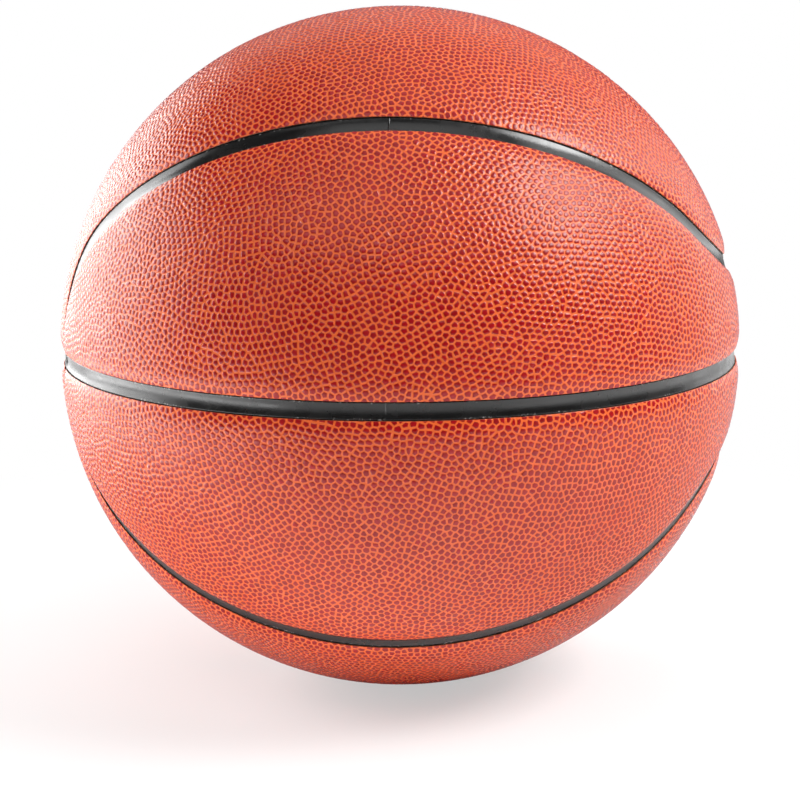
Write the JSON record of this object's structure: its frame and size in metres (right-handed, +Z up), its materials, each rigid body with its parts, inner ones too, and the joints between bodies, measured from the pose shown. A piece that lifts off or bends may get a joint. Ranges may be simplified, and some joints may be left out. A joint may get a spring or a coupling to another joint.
{
  "type": "basketball",
  "caption": "Inflatable basketball with a pebbled two-tone cover, black rubber channels, foam-backed panels, wound bladder and needle valve.",
  "frame": {"origin": "centre of the ball, which is the centre of its box", "axes": "+X through the side pole where the level and the upright channel cross, +Z up, -Y the front. The level channel lies in the XY plane, the upright one in the XZ plane. The wavy channel crosses the level one near -X and the upright one near +X. The valve is in the back upper panel, 22.5 degrees above +Y."},
  "size_m": [0.2398, 0.2404, 0.2404],
  "materials": {
    "cover": "pebbled, satin, deep red pebbles in a bright orange ground",
    "backing_foam": "matte soft foam",
    "black_rubber": "satin moulded rubber",
    "thread": "matte wound nylon thread",
    "butyl": "matte butyl rubber"
  },
  "bodies": {
    "root": {"front_crown_panel": "cover", "front_upper_panel": "cover", "front_lower_panel": "cover", "front_base_panel": "cover", "back_crown_panel": "cover", "back_upper_panel": "cover", "back_lower_panel": "cover", "back_base_panel": "cover", "front_crown_backing": "backing_foam", "front_upper_backing": "backing_foam", "front_lower_backing": "backing_foam", "front_base_backing": "backing_foam", "back_crown_backing": "backing_foam", "back_upper_backing": "backing_foam", "back_lower_backing": "backing_foam", "back_base_backing": "backing_foam", "carcass": "black_rubber", "winding": "thread", "bladder": "butyl", "valve_housing": "black_rubber", "valve_plug": "butyl"}
  },
  "joints": []
}
